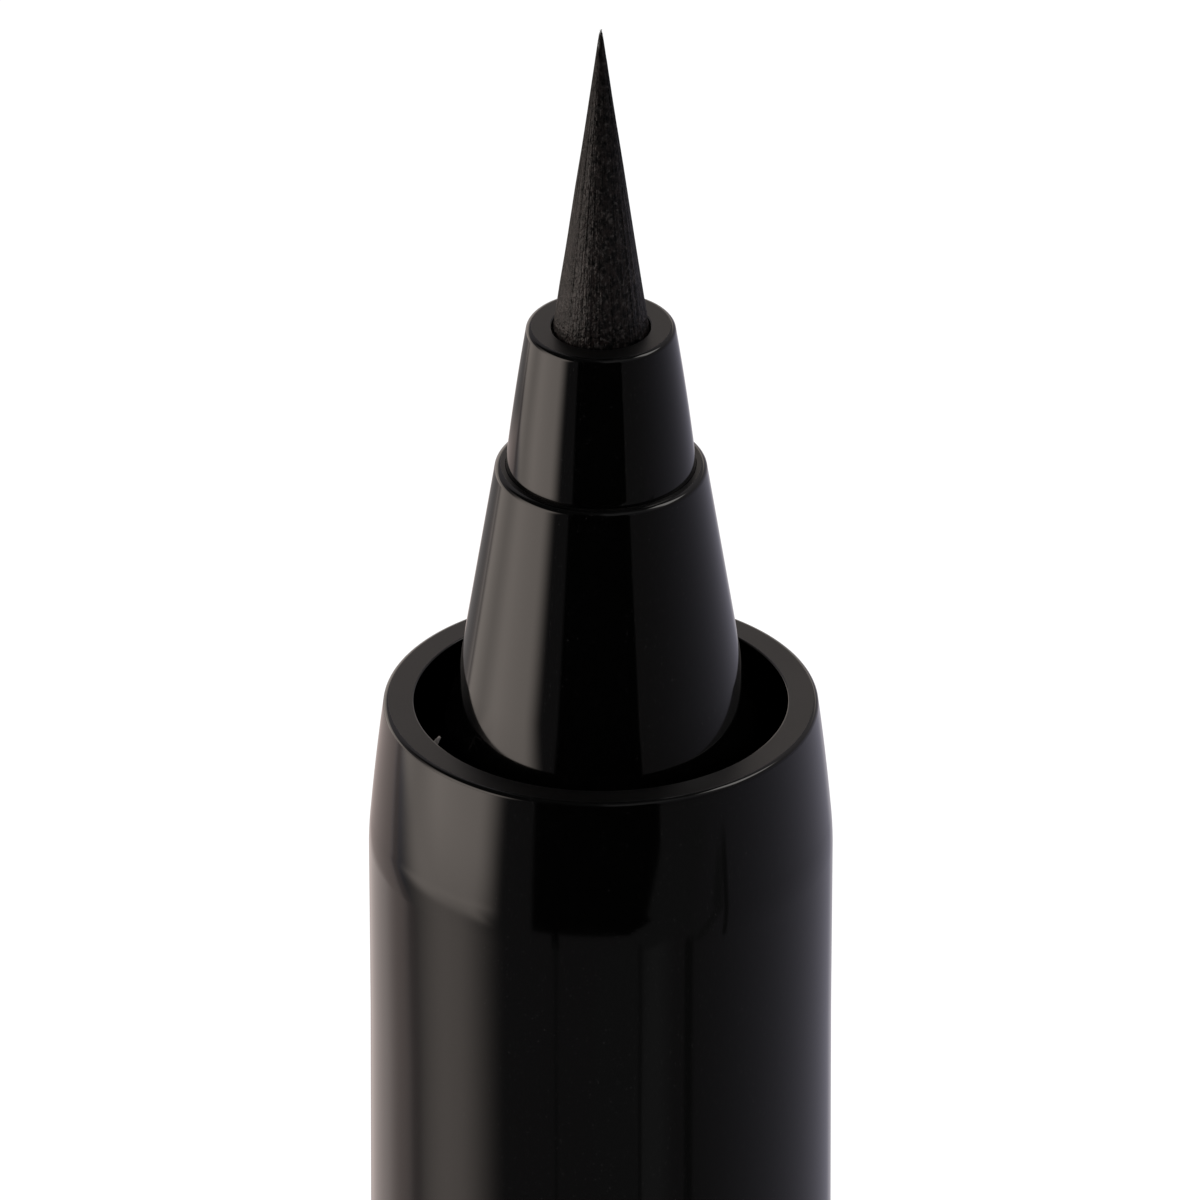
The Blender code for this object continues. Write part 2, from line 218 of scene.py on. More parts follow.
def addBump(tree, shader, height, normal=None):
    # height is in metres
    inputs = {"Height": height, "Distance": 1.0, "Strength": 1.0}
    if normal:
        inputs["Normal"] = normal
    bump = addNode(tree, "ShaderNodeBump", inputs)
    tree.links.new(bump.outputs[0], shader.inputs["Normal"])


def startMaterial(name):
    material = bpy.data.materials.new(name)
    material.use_nodes = True
    tree = material.node_tree
    tree.nodes.clear()
    shader = addNode(tree, "ShaderNodeBsdfPrincipled")
    addNode(tree, "ShaderNodeOutputMaterial", {"Surface": shader.outputs[0]})
    place = addNode(tree, "ShaderNodeTexCoord").outputs["Object"]
    return material, tree, shader, place


def rgb(grey):
    return (grey, grey, grey, 1.0)


# Materials

middle = (0.3, 0.7)  # the part of a noise's range that most of its values lie in

glossSettings = {
    "colour": (0.0004, 0.0004, 0.0004, 1.0),
    "dustColour": (0.012, 0.0115, 0.0115, 1.0),
    "ior": 1.5,
    "roughness": 0.055,
    "roughnessChange": 0.03,
    "mottleSize": 2.5 * mm,
    "mottleStretch": (1, 1, 3),
    "faceRoughness": 0.42,  # the level faces at the ends are cut, not polished
    "faceNormal": (0.990, 0.9995),
    "peelSize": 0.55 * mm,
    "peelHeight": 0.00030 * mm,
    "flowSize": 1.1 * mm,
    "flowStretch": (1, 1, 7),
    "flowHeight": 0.0012 * mm,
    "dustSize": 0.05 * mm,
    "dustReach": (0.70, 0.80),
}


def makeGlossBlack(name, changes=None):
    # moulded gloss black: orange peel, flow lines along the pen, a little dust
    look = {**glossSettings, **(changes or {})}
    material, tree, shader, place = startMaterial(name)
    mottle = noise(tree, place, look["mottleSize"], look["mottleStretch"], detail=4.0)
    smoothest = look["roughness"]
    roughness = spread(tree, mottle, *middle, smoothest, smoothest + look["roughnessChange"])
    facing = addNode(tree, "ShaderNodeTexCoord").outputs["Normal"]
    upward = addNode(tree, "ShaderNodeSeparateXYZ", {0: facing}).outputs[2]
    cutFace = spread(tree, upward, *look["faceNormal"])
    roughness = math(tree, "MULTIPLY_ADD", cutFace, look["faceRoughness"] - smoothest, roughness)
    dust = noise(tree, place, look["dustSize"], detail=1.0)
    colour = mixColours(tree, spread(tree, dust, *look["dustReach"]), look["colour"], look["dustColour"])
    peel = noise(tree, place, look["peelSize"], detail=1.0)
    flow = noise(tree, place, look["flowSize"], look["flowStretch"], detail=2.0)
    height = math(tree, "ADD", math(tree, "MULTIPLY", peel, look["peelHeight"]),
                  math(tree, "MULTIPLY", flow, look["flowHeight"]))
    addBump(tree, shader, height)
    tree.links.new(colour, shader.inputs["Base Color"])
    tree.links.new(roughness, shader.inputs["Roughness"])
    shader.inputs["IOR"].default_value = look["ior"]
    return material


satinSettings = {
    "colour": (0.006, 0.006, 0.0062, 1.0),
    "paleColour": (0.012, 0.012, 0.0122, 1.0),
    "roughness": 0.32,
    "roughnessChange": 0.08,
    "mottleSize": 1.2 * mm,
    "grainSize": 0.08 * mm,
    "grainHeight": 0.0012 * mm,
}


def makeSatinBlack(name):
    # inner mouldings: fine spark grain, slightly mottled
    look = satinSettings
    material, tree, shader, place = startMaterial(name)
    mottle = noise(tree, place, look["mottleSize"], detail=3.0)
    colour = mixColours(tree, mottle, look["colour"], look["paleColour"])
    grain = noise(tree, place, look["grainSize"], detail=2.0)
    addBump(tree, shader, math(tree, "MULTIPLY", grain, look["grainHeight"]))
    smoothest = look["roughness"]
    roughness = spread(tree, mottle, *middle, smoothest, smoothest + look["roughnessChange"])
    tree.links.new(colour, shader.inputs["Base Color"])
    tree.links.new(roughness, shader.inputs["Roughness"])
    return material


fibreSettings = {
    "inkColour": (0.0007, 0.0006, 0.0006, 1.0),
    "brownColour": (0.0078, 0.0048, 0.0043, 1.0),
    # the pale specks are partly the fibres' own paler tone and partly painted glints
    "paleColour": (0.021, 0.0175, 0.0165, 1.0),
    "roughness": 0.38,
    "roughnessChange": 0.1,
    "blotchSize": 0.13 * mm,
    "blotchStretch": (1, 1, 1.5),
    "brownReach": (0.35, 0.65),
    "speckAndGlintSize": 0.085 * mm,
    "speckAndGlintStretch": (1, 1, 1.2),
    "speckAndGlintReach": (0.54, 0.72),
    "bundleShare": 0.92,  # how far the wet bundle takes the light as one smooth cone
    "coneRise": 0.14,
    "clumpSize": 0.08 * mm,
    "clumpStretch": (1, 1, 1.4),
    "clumpHeight": 0.055 * mm,
}


def makeBrushFibre(name):
    # ink-soaked fibres: dark brown, with pale specks that are partly the fibres' paler tone and partly
    # painted glints
    look = fibreSettings
    material, tree, shader, place = startMaterial(name)
    blotch = noise(tree, place, look["blotchSize"], look["blotchStretch"], detail=3.0)
    brown = mixColours(tree, spread(tree, blotch, *look["brownReach"]),
                       look["inkColour"], look["brownColour"])
    # pale specks: partly fibre tone, partly painted glints laid into the colour
    speckAndGlint = noise(tree, place, look["speckAndGlintSize"], look["speckAndGlintStretch"], detail=1.5)
    colour = mixColours(tree, spread(tree, speckAndGlint, *look["speckAndGlintReach"]), brown, look["paleColour"])
    outward = vectorMath(tree, "NORMALIZE", vectorMath(tree, "MULTIPLY", place, (1, 1, 0)))
    outward = vectorMath(tree, "ADD", outward, (0, 0, look["coneRise"]))
    facing = addNode(tree, "ShaderNodeNewGeometry").outputs["Normal"]
    turned = addNode(tree, "ShaderNodeMix", {0: look["bundleShare"], 4: facing, 5: outward},
                     data_type="VECTOR").outputs[1]
    clump = noise(tree, place, look["clumpSize"], look["clumpStretch"], detail=2.0)
    addBump(tree, shader, math(tree, "MULTIPLY", clump, look["clumpHeight"]),
            vectorMath(tree, "NORMALIZE", turned))
    smoothest = look["roughness"]
    roughness = spread(tree, blotch, *middle, smoothest + look["roughnessChange"], smoothest)
    tree.links.new(colour, shader.inputs["Base Color"])
    tree.links.new(roughness, shader.inputs["Roughness"])
    return material


plainSettings = {
    "shade": 0.82,  # how dark the grain's low parts are against its colour
    "kinds": {
        # colour, roughness, grain size, grain height
        "naturalPlastic": ((0.62, 0.62, 0.60, 1.0), 0.38, 0.3 * mm, 0.001 * mm),
        "feedFibre": ((0.55, 0.53, 0.50, 1.0), 0.85, 0.03 * mm, 0.006 * mm),
        "collectorPlastic": ((0.30, 0.31, 0.32, 1.0), 0.45, 0.2 * mm, 0.001 * mm),
    },
}


def makePlainFinish(name):
    pale, roughness, size, height = plainSettings["kinds"][name]
    material, tree, shader, place = startMaterial(name)
    grain = noise(tree, place, size, detail=3.0)
    shade = tuple(plainSettings["shade"] * part for part in pale[:3]) + (1.0,)
    colour = mixColours(tree, spread(tree, grain, *middle), shade, pale)
    addBump(tree, shader, math(tree, "MULTIPLY", grain, height))
    tree.links.new(colour, shader.inputs["Base Color"])
    shader.inputs["Roughness"].default_value = roughness
    return material


steelSettings = {
    "colour": rgb(0.50),
    "paleColour": (0.66, 0.66, 0.67, 1.0),
    "roughness": (0.16, 0.30),
    "scratchSize": 0.25 * mm,
    "scratchStretch": (1, 6, 1),
}


def makeBallSteel(name):
    look = steelSettings
    material, tree, shader, place = startMaterial(name)
    scratch = noise(tree, place, look["scratchSize"], look["scratchStretch"], detail=4.0)
    colour = mixColours(tree, scratch, look["colour"], look["paleColour"])
    tree.links.new(colour, shader.inputs["Base Color"])
    tree.links.new(spread(tree, scratch, *middle, *look["roughness"]), shader.inputs["Roughness"])
    shader.inputs["Metallic"].default_value = 1.0
    return material


barrelGloss = makeGlossBlack("barrelGloss")
nozzleGloss = makeGlossBlack("nozzleGloss", {"flowHeight": 0.0007 * mm, "roughness": 0.04})
satinBlack = makeSatinBlack("satinBlack")
brushFibre = makeBrushFibre("brushFibre")
print("materials made:", len(bpy.data.materials))


# Barrel

barrelSettings = {
    "ribHeight": 0.28 * mm,
    "ribWidth": 0.36 * mm,
    "ribTaper": 0.3,
    "ribSlant": 0.50 * mm,
    "ribLength": 4.0 * mm,
    "ribDrop": 0.03 * mm,
    "ribAngle": radians(211.5),
    "ribRound": 0.01 * mm,
    "ribRoot": 0.3 * mm,  # how far the rib reaches into the wall
}


def shoulder():
    # outer side of a mouth: rounded rim, tapered shoulder, soft crease and faint collar
    rim = (pen["rimRadius"], 0)
    foot = (pen["shoulderRadius"], -pen["shoulderDrop"])
    collar = (pen["collarRadius"], -pen["collarDrop"])
    slope = bow(rim, foot, pen["shoulderBulge"], cuts["shoulderSteps"])
    crease = bow(foot, collar, pen["collarBulge"], cuts["shoulderSteps"] // 2)
    return [(*rim, pen["rimRound"])] + slope + crease + [(pen["barrelRadius"], -pen["collarEnd"])]


def keyRib():
    look = barrelSettings
    shape = bmesh.new()
    bmesh.ops.create_cube(shape, size=1)
    inner = pen["mouthRadius"] - look["ribHeight"]
    outer = pen["mouthRadius"] + look["ribRoot"]
    top = pen["lipLevel"] - look["ribDrop"]
    for vert in shape.verts:
        reach = 0.5 - vert.co.x  # 0 in the wall, 1 at the rib's inner end
        vert.co.x = outer + reach * (inner - outer)
        vert.co.y *= look["ribWidth"] * (1 + reach * (look["ribTaper"] - 1))
        vert.co.y -= look["ribSlant"] * reach
        vert.co.z = top + (vert.co.z - 0.5) * look["ribLength"]
    bmesh.ops.bevel(shape, geom=shape.edges, offset=look["ribRound"], segments=cuts["ribSteps"],
                    profile=0.5, affect="EDGES")
    for vert in shape.verts:
        x, y = vert.co.x, vert.co.y
        vert.co.x = x * cos(look["ribAngle"]) - y * sin(look["ribAngle"])
        vert.co.y = x * sin(look["ribAngle"]) + y * cos(look["ribAngle"])
    return linkMesh("keyRib", toMesh("keyRib", shape))


def joinTo(piece, other):
    # the other object becomes part of the piece
    step = piece.modifiers.new("join", "BOOLEAN")
    step.operation = "UNION"
    step.solver = "EXACT"
    step.object = other
    evaluated = piece.evaluated_get(bpy.context.evaluated_depsgraph_get())
    mesh = bpy.data.meshes.new_from_object(evaluated)
    piece.modifiers.clear()
    old = piece.data
    piece.data = mesh
    bpy.data.meshes.remove(old)
    mesh.name = piece.name
    bpy.data.objects.remove(other)


def makeBarrel():
    lip, tail = pen["lipLevel"], pen["tailLevel"]
    top = [(radius, lip + drop, *fillet) for radius, drop, *fillet in shoulder()]
    bottom = [(radius, tail - drop, *fillet) for radius, drop, *fillet in reversed(shoulder())]
    step = lip - pen["mouthDepth"]
    inside = [
        (pen["boreRadius"], tail, pen["boreRound"]),
        (pen["boreRadius"], step),
        (pen["mouthRadius"], step),
        (pen["mouthRadius"], lip, pen["boreRound"]),
    ]
    barrel = turn("barrel_tube", top + bottom + inside, barrelGloss, cuts["barrelSides"])
    joinTo(barrel, keyRib())
    barrel.data.set_sharp_from_angle(angle=cuts["sharpAngle"])
    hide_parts("barrel")
    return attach(barrel, "pen")


barrel = makeBarrel()
print("barrel turned:", len(barrel.data.polygons), "faces")


# Nozzle and tip holder

nozzleSettings = {
    "ledgeRadius": 2.565 * mm,
    "edgeRound": 0.16 * mm,
    "neckRadius": 3.441 * mm,
    "neckLevel": 133.1 * mm,
    "flare": -0.036 * mm,
    "rootRadius": 3.80 * mm,
    "rootDrop": 0.35 * mm,
    "flangeTop": 125.0 * mm,
    "flangeBottom": 123.8 * mm,
    "plugRadius": 3.72 * mm,
    "plugBore": 3.02 * mm,
    "plugBottom": 119.8 * mm,
    "webTop": 130.95 * mm,
    "webBottom": 129.95 * mm,
    "coreHole": 0.7 * mm,
    "holderBore": 2.319 * mm,
    "boreEdge": 0.006 * mm,
}


def makeNozzle():
    look = nozzleSettings
    edge = (look["ledgeRadius"], pen["ledgeLevel"])
    neck = (look["neckRadius"], look["neckLevel"])
    root = (look["rootRadius"], pen["lipLevel"] - look["rootDrop"])
    foot = bow(neck, root, look["flare"], cuts["coneSteps"])
    outline = [(*edge, look["edgeRound"]), neck] + foot + [
        (look["rootRadius"], look["flangeTop"]),
        (pen["insertRadius"], look["flangeTop"]),
        (pen["insertRadius"], look["flangeBottom"]),
        (look["plugRadius"], look["flangeBottom"]),
        (look["plugRadius"], look["plugBottom"]),
        (look["plugBore"], look["plugBottom"]),
        (look["plugBore"], look["webBottom"]),
        (look["coreHole"], look["webBottom"]),
        (look["coreHole"], look["webTop"]),
        (look["holderBore"], look["webTop"]),
        (look["holderBore"], pen["ledgeLevel"], look["boreEdge"]),
    ]
    nozzle = turn("nozzle_cone", outline, nozzleGloss, cuts["coneSides"])
    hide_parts("nozzle")
    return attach(nozzle, "pen")


holderSettings = {
    "radius": 2.315 * mm,
    "topRadius": 1.805 * mm,
    "bulge": 0.025 * mm,
    "edgeRound": 0.14 * mm,
    "bottom": 131.05 * mm,
    "neck": 3.2 * mm,
    "flangeHole": 1.6 * mm,
    "brushHole": 1.18 * mm,
    "holeRound": 0.07 * mm,
}


def makeTipHolder():
    look = holderSettings
    top = pen["holderTop"]
    edge = (look["topRadius"], top)
    cone = bow(edge, (look["radius"], pen["ledgeLevel"]), look["bulge"], cuts["coneSteps"])
    outline = [(*edge, look["edgeRound"])] + cone + [
        (look["radius"], look["bottom"]),
        (look["flangeHole"], look["bottom"]),
        (look["flangeHole"], top - look["neck"]),
        (look["brushHole"], top - look["neck"]),
        (look["brushHole"], top, look["holeRound"]),
    ]
    holder = turn("tip_holder_cone", outline, nozzleGloss, cuts["coneSides"])
    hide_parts("tip_holder")
    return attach(holder, "pen")


nozzle = makeNozzle()
tipHolder = makeTipHolder()
coneFaces = len(nozzle.data.polygons) + len(tipHolder.data.polygons)
print("nozzle and tip holder turned:", coneFaces, "faces")


# Brush tip: a core, with fibres laid over it by Geometry Nodes

brushSettings = {
    "radius": 1.15 * mm,
    "coreShare": 0.96,
    "corePointDrop": 0.12 * mm,
    "flangeRadius": 1.50 * mm,
    "flangeTop": 139.15 * mm,
    "flangeBottom": 137.75 * mm,
    "fibreCount": 1500,
    "fibreSides": 5,
    "fibreRings": 5,
    "fibreRadius": 0.024 * mm,
    "fibreTaper": 0.14,
    "girthSpread": (0.7, 1.2),
    "innerShare": 0.94,
    "outerShare": 1.0,
    "shortest": 0.22,
    "aimSpread": 0.03 * mm,
    "footDepth": 0.08 * mm,
    "waver": 0.026 * mm,
    "waverSize": 0.20 * mm,
    "waverAtPoint": 0.15,
    "seed": 11,
}


def fibreTree(material):
    look = brushSettings
    tree = bpy.data.node_groups.new("brushFibres", "GeometryNodeTree")
    panel = tree.interface
    sockets = []
    for label, kind, value in (
        ("Fibre count", "NodeSocketInt", look["fibreCount"]),
        ("Fibre radius", "NodeSocketFloat", look["fibreRadius"]),
        ("Brush radius", "NodeSocketFloat", look["radius"]),
        ("Inner share", "NodeSocketFloat", look["innerShare"]),
        ("Outer share", "NodeSocketFloat", look["outerShare"]),
        ("Foot level", "NodeSocketFloat", pen["holderTop"] - look["footDepth"]),
        ("Point level", "NodeSocketFloat", pen["brushPoint"]),
        ("Shortest share", "NodeSocketFloat", look["shortest"]),
        ("Waver", "NodeSocketFloat", look["waver"]),
        ("Seed", "NodeSocketInt", look["seed"]),
    ):
        socket = panel.new_socket(label, in_out="INPUT", socket_type=kind)
        socket.default_value = value
        sockets.append((socket.identifier, value))
    panel.new_socket("Geometry", in_out="OUTPUT", socket_type="NodeSocketGeometry")
    given = addNode(tree, "NodeGroupInput").outputs
    index = addNode(tree, "GeometryNodeInputIndex").outputs[0]

    def draw(low, high, shift):
        seed = math(tree, "ADD", given["Seed"], shift)
        made = addNode(tree, "FunctionNodeRandomValue", {"ID": index, 2: low, 3: high, "Seed": seed},
                       data_type="FLOAT")
        return made.outputs[1]

    # feet on a ring of the brush's root, in golden-angle steps
    angle = math(tree, "MULTIPLY", index, pi * (3 - sqrt(5)))
    share = draw(given["Inner share"], given["Outer share"], 1)
    ring = math(tree, "MULTIPLY", share, given["Brush radius"])
    foot = addNode(tree, "ShaderNodeCombineXYZ", {
        0: math(tree, "MULTIPLY", ring, math(tree, "COSINE", angle)),
        1: math(tree, "MULTIPLY", ring, math(tree, "SINE", angle)),
        2: given["Foot level"],
    }).outputs[0]
    aim = addNode(tree, "ShaderNodeCombineXYZ", {
        0: draw(-look["aimSpread"], look["aimSpread"], 2),
        1: draw(-look["aimSpread"], look["aimSpread"], 3),
        2: given["Point level"],
    }).outputs[0]
    run = vectorMath(tree, "SUBTRACT", aim, foot)
    reach = draw(given["Shortest share"], 1.0, 4)
    length = math(tree, "MULTIPLY", vectorMath(tree, "LENGTH", run), reach)
    girth = math(tree, "MULTIPLY", given["Fibre radius"], draw(*look["girthSpread"], 5))
    scale = addNode(tree, "ShaderNodeCombineXYZ", {0: girth, 1: girth, 2: length}).outputs[0]
    lean = addNode(tree, "FunctionNodeAlignRotationToVector", {"Vector": run}, axis="Z").outputs[0]

    feet = addNode(tree, "GeometryNodePoints", {
        "Count": given["Fibre count"], "Position": foot,
    }).outputs[0]
    strand = addNode(tree, "GeometryNodeMeshCone", {
        "Vertices": look["fibreSides"], "Side Segments": look["fibreRings"], "Fill Segments": 1,
        "Radius Top": look["fibreTaper"], "Radius Bottom": 1.0, "Depth": 1.0,
    }, fill_type="NGON").outputs[0]
    placed = addNode(tree, "GeometryNodeInstanceOnPoints", {
        "Points": feet, "Instance": strand, "Rotation": lean, "Scale": scale,
    }).outputs[0]
    real = addNode(tree, "GeometryNodeRealizeInstances", {"Geometry": placed}).outputs[0]

    # neighbouring fibres waver together, most at the root and least at the point
    position = addNode(tree, "GeometryNodeInputPosition").outputs[0]
    wave = addNode(tree, "ShaderNodeTexNoise", {
        "Vector": position, "Scale": 1 / look["waverSize"], "Detail": 1.0,
    }).outputs["Color"]
    centred = vectorMath(tree, "SUBTRACT", wave, (0.5, 0.5, 0.5))
    sideways = vectorMath(tree, "MULTIPLY", centred, (2.0, 2.0, 0.0))
    height = addNode(tree, "ShaderNodeSeparateXYZ", {0: position}).outputs[2]
    fall = addNode(tree, "ShaderNodeMapRange", {
        0: height, 1: given["Foot level"], 2: given["Point level"], 3: 1.0, 4: look["waverAtPoint"],
    }).outputs[0]
    offset = addNode(tree, "ShaderNodeVectorMath", {
        0: sideways, "Scale": math(tree, "MULTIPLY", fall, given["Waver"]),
    }, operation="SCALE").outputs[0]
    waved = addNode(tree, "GeometryNodeSetPosition", {"Geometry": real, "Offset": offset}).outputs[0]
    smooth = addNode(tree, "GeometryNodeSetShadeSmooth", {"Geometry": waved}).outputs[0]
    finish = addNode(tree, "GeometryNodeSetMaterial", {
        "Geometry": smooth, "Material": material,
    }).outputs[0]
    addNode(tree, "NodeGroupOutput", {"Geometry": finish})
    return tree, sockets


def makeBrush():
    look = brushSettings
    tree, sockets = fibreTree(brushFibre)
    carrier = linkMesh("fibreCarrier", bpy.data.meshes.new("fibreCarrier"))
    grow = carrier.modifiers.new("fibres", "NODES")
    grow.node_group = tree
    for identifier, value in sockets:
        grow[identifier] = value
    evaluated = carrier.evaluated_get(bpy.context.evaluated_depsgraph_get())
    fibres = bpy.data.meshes.new_from_object(evaluated)
    bpy.data.objects.remove(carrier)

    top, point = pen["holderTop"], pen["brushPoint"]
    coreRadius = look["coreShare"] * look["radius"]
    core = turn("brush_core", [
        (0, point - look["corePointDrop"]),
        (coreRadius, top),
        (look["radius"], top - look["footDepth"]),
        (look["radius"], look["flangeTop"]),
        (look["flangeRadius"], look["flangeTop"]),
        (look["flangeRadius"], look["flangeBottom"]),
        (0, look["flangeBottom"]),
    ], brushFibre, cuts["coreSides"])
    shape = bmesh.new()
    shape.from_mesh(core.data)
    shape.from_mesh(fibres)
    mesh = toMesh("brush_bundle", shape)
    mesh.shade_smooth()
    bpy.data.objects.remove(core)
    bpy.data.meshes.remove(fibres)
    brush = linkMesh("brush_bundle", mesh, brushFibre)
    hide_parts("brush_tip")
    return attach(brush, "pen")


brush = makeBrush()
print("brush made:", len(brush.data.polygons), "faces")


# Tail plug, cap shell and inner cap

plugSettings = {
    "discTop": 50.7 * mm,
    "discBottom": 49.1 * mm,
    "spigotEnd": 40.1 * mm,
    "spigotBore": 3.02 * mm,
    "spigotRound": 0.5 * mm,
    "edgeRound": 0.08 * mm,
}


def makeTailPlug():
    look = plugSettings
    plug = turn("tail_plug_spigot", [
        (0, look["discTop"]),
        (pen["insertRadius"], look["discTop"], look["edgeRound"]),
        (pen["insertRadius"], look["discBottom"], look["edgeRound"]),
        (pen["rootRadius"], look["discBottom"]),
        (pen["rootRadius"], look["spigotEnd"], look["spigotRound"]),
        (look["spigotBore"], look["spigotEnd"], look["edgeRound"]),
        (look["spigotBore"], look["discBottom"]),
        (0, look["discBottom"]),
    ], satinBlack, cuts["insideSides"])
    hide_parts("tail_plug")
    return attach(plug, "pen")


capSettings = {
    "length": 42.0 * mm,
    "end": 1.2 * mm,
    "endRound": 0.7 * mm,
    "chamberFloor": 21.30 * mm,
    "innerEnd": 20.30 * mm,
    "innerTop": 41.7 * mm,
    "skirtTop": 48.1 * mm,
    "skirtOuter": 4.15 * mm,
    "skirtInner": 3.92 * mm,
    "skirtRound": 0.10 * mm,
}


def makeCapShell():
    look = capSettings
    top = [(radius, look["length"] + drop, *fillet) for radius, drop, *fillet in shoulder()]
    cap = turn("cap_tube", [
        (0, look["end"]),
        (pen["boreRadius"], look["end"]),
        (pen["boreRadius"], look["length"], pen["boreRound"]),
    ] + top + [
        (pen["barrelRadius"], 0, look["endRound"]),
        (0, 0),
    ], barrelGloss, cuts["barrelSides"])
    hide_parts("cap_shell")
    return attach(cap, "cap")


def makeInnerCap():
    look = capSettings
    inner = turn("inner_cap_liner", [
        (0, look["chamberFloor"]),
        (look["skirtInner"], look["chamberFloor"]),
        (look["skirtInner"], look["skirtTop"], look["skirtRound"]),
        (look["skirtOuter"], look["skirtTop"], look["skirtRound"]),
        (look["skirtOuter"], look["innerTop"]),
        (pen["insertRadius"], look["innerTop"], pen["boreRound"]),
        (pen["insertRadius"], look["innerEnd"], pen["boreRound"]),
        (0, look["innerEnd"]),
    ], satinBlack, cuts["insideSides"])
    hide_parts("inner_cap")
    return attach(inner, "cap")


makeTailPlug()
makeCapShell()
makeInnerCap()
print("tail plug and cap turned")


# Pieces inside the pen keep their CAD shapes

insideFinishes = {
    "brush_sleeve": makePlainFinish("naturalPlastic"),
    "feed_core": makePlainFinish("feedFibre"),
    "collector": makePlainFinish("collectorPlastic"),
    "mixing_ball": makeBallSteel("ballSteel"),
}
insideFinishes["ink_tank"] = insideFinishes["brush_sleeve"]
for name, material in insideFinishes.items():
    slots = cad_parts[name].data.materials
    slots.clear()
    slots.append(material)
print("inside pieces finished:", len(insideFinishes))


# Studio: a tent around the pen holds what its gloss reflects, and lamps and world light the rest
# Azimuth 0 is towards the camera, minus is to its left; angles in degrees

studioSettings = {
    "tentRadius": 40.0,
    "slantLevel": -25.0,  # elevation at which a slanted panel stands at its own azimuth
    "worldLight": rgb(0.82),
    "wall": (0.36, 0.35, 0.42, 1.0),
    "panels": [
        # name, colour, centre, (left reach, fade), right, (lowest, fade), highest, slant
        ("darkTop", rgb(0.06), 180, (180, 1), (180, 1), (40, 20), (90, 1), 0),
        ("backLight", (0.33, 0.31, 0.32, 1.0), 180, (110, 30), (110, 30), (12, 14), (44, 14), 0),
        ("darkFront", (0.088, 0.084, 0.086, 1.0), 0, (100, 40), (34, 130), (-90, 1), (20, 20), 0),
        ("rightEdge", (0.52, 0.50, 0.56, 1.0), 174, (6, 12), (5, 8), (-90, 1), (0, 10), 0),
        ("paleStrip", rgb(0.135), 23, (3, 5), (4, 12), (-90, 1), (-27, 3), 0),
        ("warmWall", (0.60, 0.50, 0.47, 1.0), -160, (20, 20), (30, 14), (-90, 1), (-18, 8), -3.0),
        ("warmEdge", (0.86, 0.74, 0.70, 1.0), -158, (18, 12), (8, 16), (-90, 1), (-28.8, 1.2), -3.0),
        ("softboxFoot", (1.08, 0.95, 0.87, 1.0), -79, (2, 36), (2, 29), (-90, 1), (24, 2), 0),
        ("softboxSide", (1.50, 1.33, 1.21, 1.0), -90, (0, 30), (30, 10), (-22.6, 2.5), (14, 12), -2.4),
        ("softboxWing", (1.25, 1.11, 1.01, 1.0), -118, (14, 6), (30, 10), (-21.2, 1.4), (14, 12), -1.5),
        ("softbox", (2.35, 2.08, 1.89, 1.0), -77, (12, 24), (10, 17), (-18.5, 6), (14, 12), 0.3),
        ("softboxGap", (0.32, 0.27, 0.26, 1.0), -121, (0.5, 4), (1, 6), (-90, 1), (-22, 2), -3.0),
        ("nozzleEdge", (0.29, 0.27, 0.265, 1.0), -156, (14, 6), (2, 5), (-26.5, 1), (-23.5, 3.5), 7.4),
        ("darkLeft", rgb(0.03), -85, (35, 15), (50, 15), (28, 4), (90, 1), 0),
        ("blackFlag", rgb(0.0), 0, (32, 3), (29, 1.5), (-22.5, 0.6), (50, 10), 0),
        ("flagCorner", rgb(0.09), 21, (12, 1.5), (8, 6), (-30, 2), (-16.8, 0.6), 2.6),
        ("frontTop", rgb(0.22), 38, (28, 14), (30, 14), (46, 6), (76, 6), 0),
        ("topLight", (3.0, 2.9, 2.8, 1.0), 97, (12, 10), (14, 10), (38, 3), (60, 3), 0),
        ("wedge", rgb(0.0), -22.3, (1.2, 0.8), (1.2, 0.8), (-27.5, 1.2), (-22, 1), 0),
        ("thinLine", rgb(0.055), -22.3, (0.4, 0.6), (0.4, 0.6), (-90, 1), (-26, 2), 0),
        ("thinLine", rgb(0.06), 19.5, (0.6, 0.8), (0.6, 0.8), (-90, 1), (-26.5, 1), 0),
        ("darkBand", rgb(0.045), 44.5, (1.2, 2), (1.2, 2), (-90, 1), (-27, 2), 0),
        ("darkBand", rgb(0.075), 52, (1.5, 2.5), (1.5, 2.5), (-27, 1), (-19.5, 2), 1.5),
        ("thinLine", rgb(0.05), 63.5, (0.8, 0.8), (0.8, 0.8), (-27.5, 1), (-19, 1.5), 0),
    ],
}


